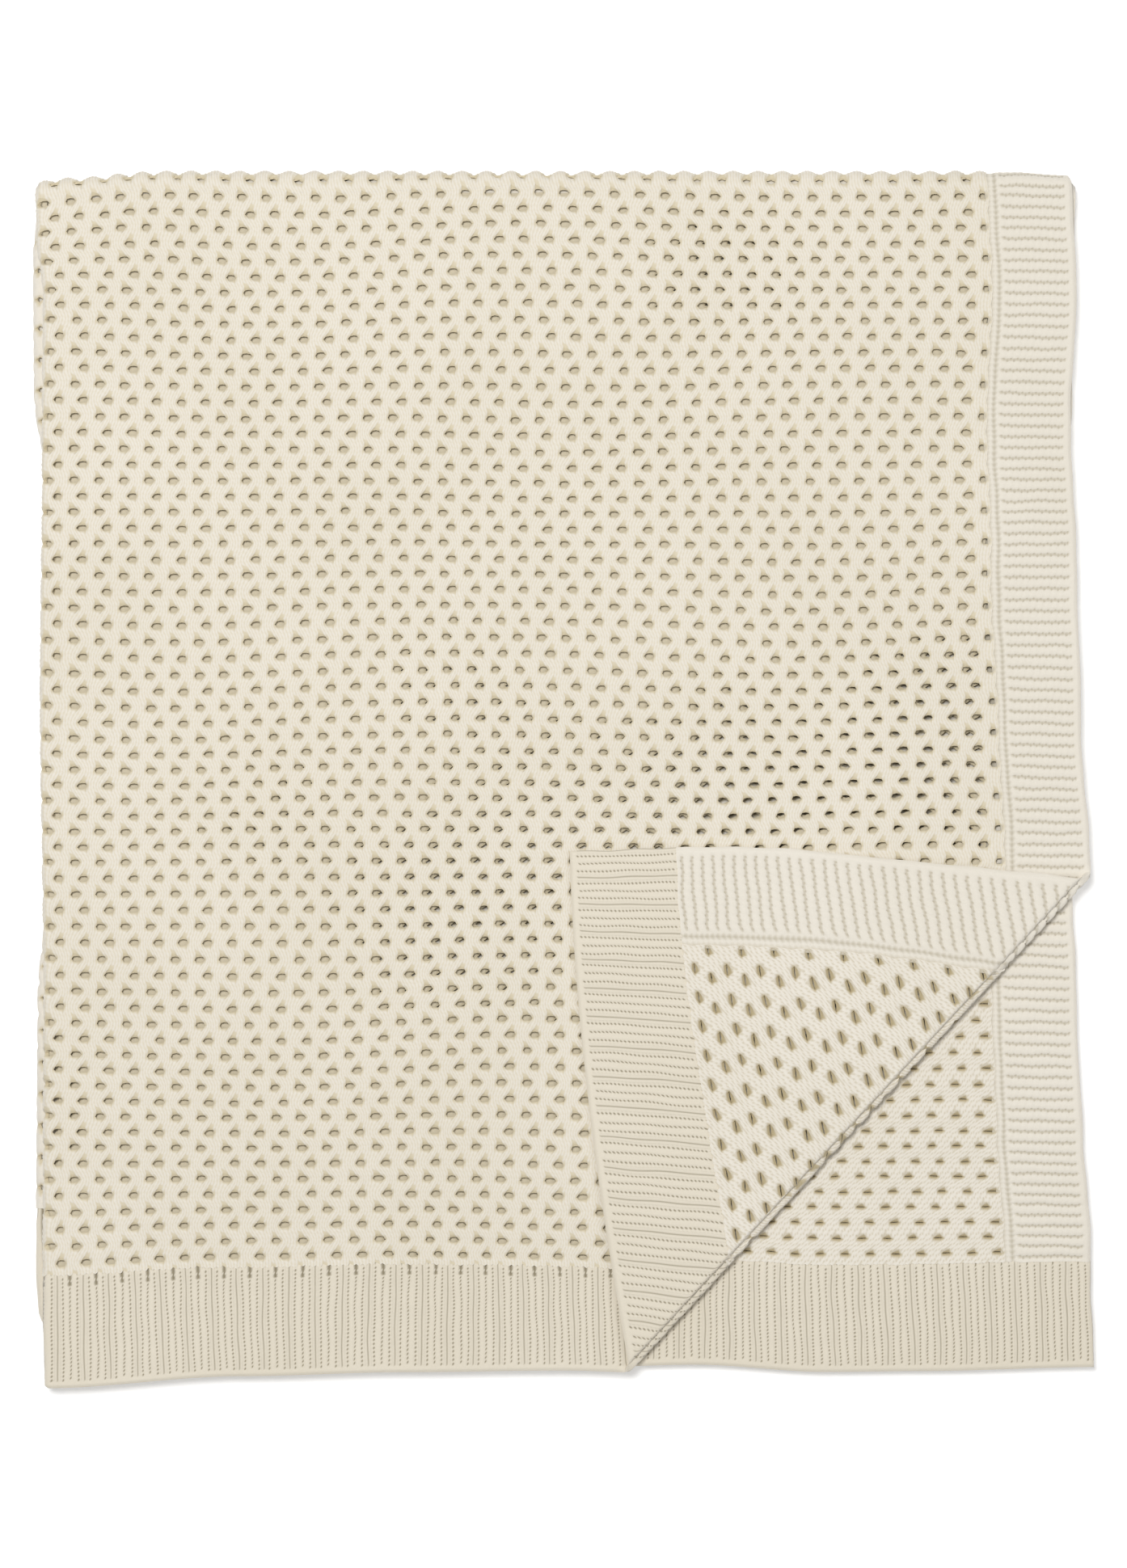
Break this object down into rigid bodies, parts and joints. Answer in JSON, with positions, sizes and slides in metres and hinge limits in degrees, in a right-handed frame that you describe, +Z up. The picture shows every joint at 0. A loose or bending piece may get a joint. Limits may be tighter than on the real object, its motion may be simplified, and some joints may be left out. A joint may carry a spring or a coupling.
{
  "type": "folded throw blanket",
  "caption": "Cream openwork cotton knit throw, folded in quarters and laid flat, with garter stitch side borders, ribbed hems and one corner of the top layer turned back",
  "frame": {"origin": "middle of the folded throw's footprint, on the surface it lies on", "axes": "+X from the left folds to the side borders' free edges, +Y from the rib hems to the top fold, +Z up from the surface"},
  "size_m": [0.655, 0.752, 0.0247],
  "materials": {
    "openwork_knit": "matte",
    "garter_knit": "matte",
    "rib_knit": "matte"
  },
  "bodies": {
    "lower_half": {"bottom_layer_openwork": "openwork_knit", "bottom_layer_side_border": "garter_knit", "bottom_layer_rib_hem": "rib_knit", "third_layer_openwork": "openwork_knit", "third_layer_side_border": "garter_knit", "third_layer_rib_hem": "rib_knit", "lower_left_fold": "openwork_knit", "top_fold_inner": "openwork_knit", "top_fold_outer": "openwork_knit"},
    "upper_half": {"second_layer_openwork": "openwork_knit", "second_layer_side_border": "garter_knit", "second_layer_rib_hem": "rib_knit", "top_layer_openwork": "openwork_knit", "top_layer_side_border": "garter_knit", "top_layer_rib_hem": "rib_knit", "upper_left_fold": "openwork_knit", "corner_fold": "openwork_knit"},
    "corner_flap": {"corner_openwork": "openwork_knit", "corner_side_border": "garter_knit", "corner_rib_hem": "rib_knit"}
  },
  "joints": [
    {"name": "top_fold", "type": "hinge", "parent": "lower_half", "child": "upper_half", "pos_m": [0, 0.36615, 0.00985], "axis": [-1, 0, 0], "range_deg": [0, 178], "deforming": ["top_fold_inner", "top_fold_outer"]},
    {"name": "corner_flap", "type": "hinge", "parent": "upper_half", "child": "corner_flap", "pos_m": [0.17795, -0.2157, 0.01985], "axis": [0.681, 0.7323, 0], "range_deg": [0, 180], "deforming": ["corner_fold"]}
  ]
}
